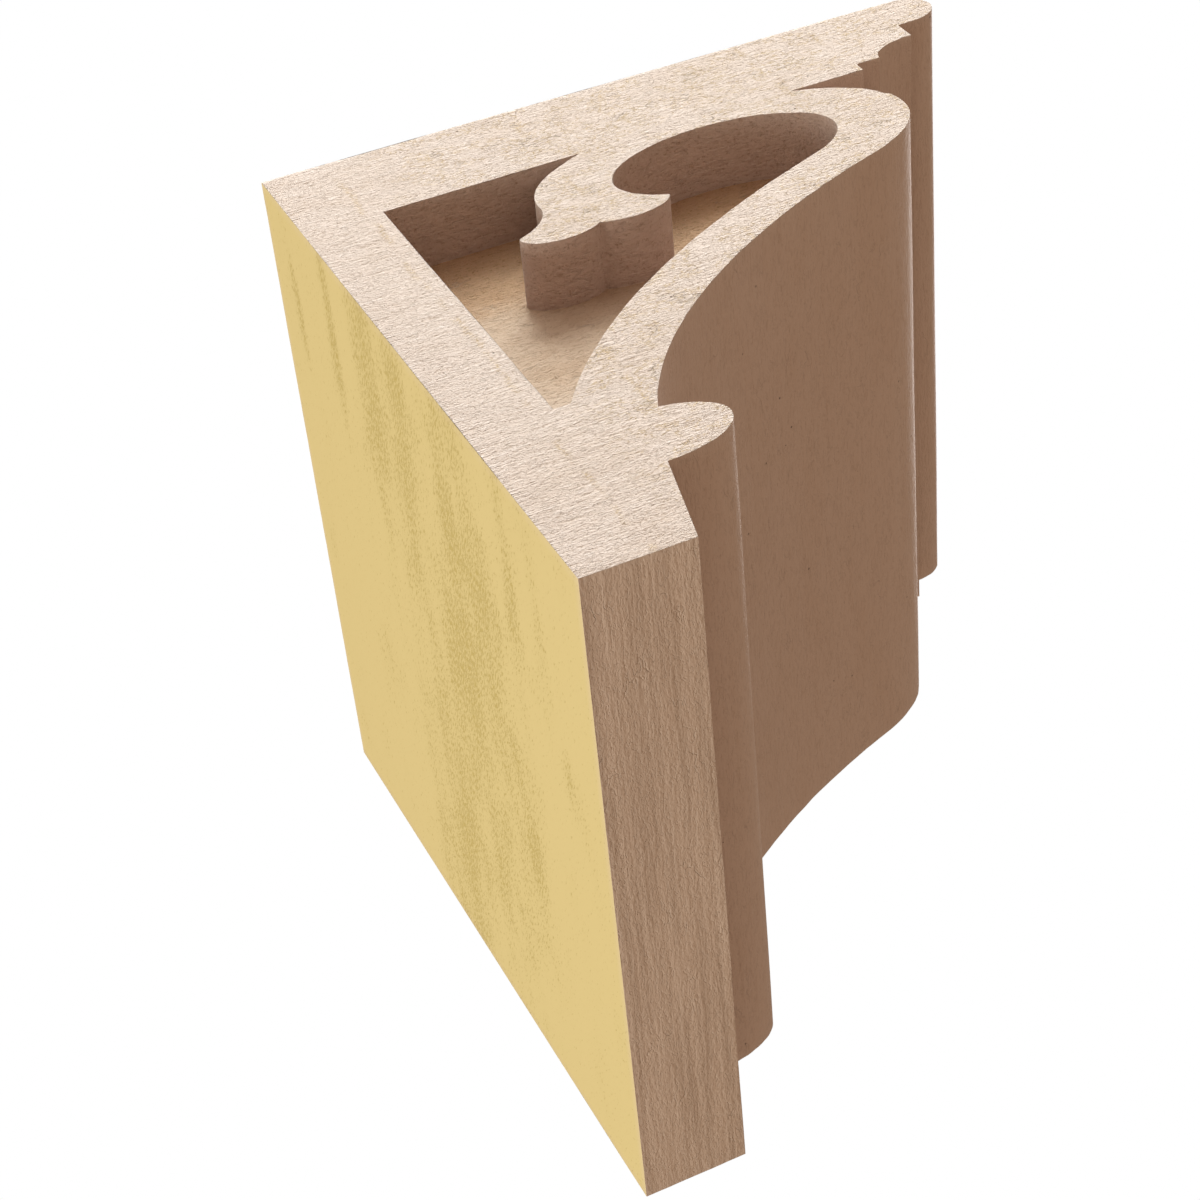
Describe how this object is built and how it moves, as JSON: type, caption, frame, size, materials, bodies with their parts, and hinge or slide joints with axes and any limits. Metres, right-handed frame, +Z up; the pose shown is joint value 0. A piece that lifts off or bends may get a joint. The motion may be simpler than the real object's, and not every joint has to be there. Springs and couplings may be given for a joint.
{
  "type": "corbel",
  "caption": "Square-built cast corbel with a rough-sawn face: slab with rounded nose over a scrolled bracket, beaded foot, and a scrolled hollow sunk in each cheek.",
  "frame": {"origin": "centre of the flat back face, which goes against the wall", "axes": "+X across the wall, +Y into the wall so the front faces -Y, +Z up"},
  "size_m": [0.3048, 0.3048, 0.3048],
  "materials": {
    "primed_foam": "tan primer over a rough-sawn moulded face, raw yellow foam on the back"
  },
  "bodies": {
    "root": {"corbel": "primed_foam"}
  },
  "joints": []
}
